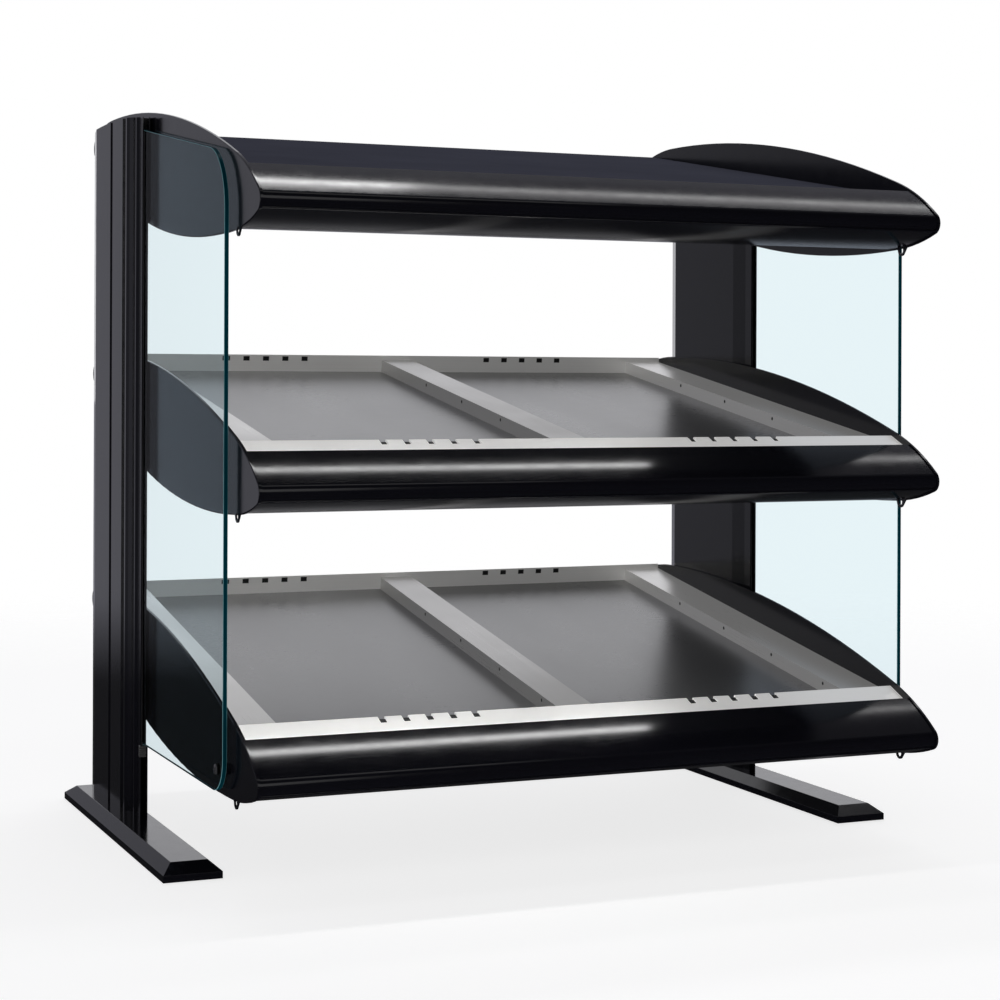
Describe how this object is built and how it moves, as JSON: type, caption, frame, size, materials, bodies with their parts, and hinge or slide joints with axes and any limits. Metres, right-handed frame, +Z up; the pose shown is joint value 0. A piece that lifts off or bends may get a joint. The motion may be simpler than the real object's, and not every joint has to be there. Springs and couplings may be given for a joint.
{
  "type": "hot food display case",
  "caption": "Countertop merchandiser with slanted heated shelves under a canopy, open front and back, black side posts and flat feet, glass sides and lens-shaped end caps.",
  "frame": {"origin": "on the floor, under the middle of the case's bounding box", "axes": "+X to the right as a customer sees the front, +Y from the customer's side to the back, +Z up"},
  "size_m": [0.925, 0.776, 0.889],
  "materials": {
    "painted_steel": "gloss",
    "painted_extrusion": "gloss",
    "fascia_steel": "satin",
    "cover_paint": "satin",
    "stainless": "satin",
    "heated_plate": "satin",
    "reflector": "satin",
    "side_glass": "gloss",
    "rubber": "matte",
    "spacer_plastic": "gloss",
    "zinc_screws": "satin",
    "heater_sheath": "matte",
    "guard_chrome": "gloss",
    "heating_mat": "matte",
    "mineral_board": "matte",
    "thermostat_case": "matte",
    "black_plastic": "gloss",
    "knob_plastic": "satin",
    "gland_plastic": "matte"
  },
  "bodies": {
    "case": {"foot_left": "painted_steel", "post_left": "painted_extrusion", "side_glass_left": "side_glass", "foot_right": "painted_steel", "post_right": "painted_extrusion", "side_glass_right": "side_glass", "foot_pads": "rubber", "base_screws": "zinc_screws", "glazing_seals": "rubber", "glass_clips": "stainless", "glass_spacers": "spacer_plastic", "canopy_end_cap_left": "painted_steel", "canopy_end_cap_right": "painted_steel", "canopy_bullnose": "painted_extrusion", "canopy_rear_fascia": "fascia_steel", "middle_end_cap_left": "painted_steel", "middle_end_cap_right": "painted_steel", "middle_bullnose": "painted_extrusion", "middle_rear_fascia": "fascia_steel", "lower_end_cap_left": "painted_steel", "lower_end_cap_right": "painted_steel", "lower_bullnose": "painted_extrusion", "lower_rear_fascia": "fascia_steel", "end_cap_screws": "zinc_screws", "switch_bodies": "black_plastic", "canopy_top_cover": "cover_paint", "canopy_reflector": "reflector", "middle_bottom_pan": "reflector", "lower_bottom_pan": "reflector", "canopy_heaters": "heater_sheath", "canopy_heater_guard": "guard_chrome", "middle_heaters": "heater_sheath", "middle_heater_guard": "guard_chrome", "heater_brackets": "reflector", "middle_front_rail": "stainless", "middle_rear_rail": "stainless", "middle_divider": "stainless", "middle_side_rail_left": "stainless", "middle_plate_left": "heated_plate", "middle_side_rail_right": "stainless", "middle_plate_right": "heated_plate", "lower_front_rail": "stainless", "lower_rear_rail": "stainless", "lower_divider": "stainless", "lower_side_rail_left": "stainless", "lower_plate_left": "heated_plate", "lower_side_rail_right": "stainless", "lower_plate_right": "heated_plate", "base_heaters": "heating_mat", "insulation_slabs": "mineral_board", "thermostats": "thermostat_case", "cord_gland": "gland_plastic"},
    "canopy_rocker": {"canopy_rocker": "black_plastic"},
    "middle_rocker": {"middle_rocker": "black_plastic"},
    "lower_rocker": {"lower_rocker": "black_plastic"},
    "middle_knob": {"middle_knob": "knob_plastic", "middle_thermostat_shaft": "zinc_screws"},
    "lower_knob": {"lower_knob": "knob_plastic", "lower_thermostat_shaft": "zinc_screws"}
  },
  "joints": [
    {"name": "canopy_rocker_press", "type": "hinge", "parent": "case", "child": "canopy_rocker", "pos_m": [0.3, 0.36267, 0.85889], "axis": [1, 0, 0], "range_deg": [0, 16]},
    {"name": "middle_rocker_press", "type": "hinge", "parent": "case", "child": "middle_rocker", "pos_m": [0.3, 0.36267, 0.55649], "axis": [1, 0, 0], "range_deg": [0, 16]},
    {"name": "lower_rocker_press", "type": "hinge", "parent": "case", "child": "lower_rocker", "pos_m": [0.3, 0.36267, 0.25409], "axis": [1, 0, 0], "range_deg": [0, 16]},
    {"name": "middle_knob_turn", "type": "hinge", "parent": "case", "child": "middle_knob", "pos_m": [0.22, 0.36908, 0.55754], "axis": [0, 0.9869, 0.1616], "range_deg": [0, 270]},
    {"name": "lower_knob_turn", "type": "hinge", "parent": "case", "child": "lower_knob", "pos_m": [0.22, 0.36908, 0.25514], "axis": [0, 0.9869, 0.1616], "range_deg": [0, 270]}
  ]
}
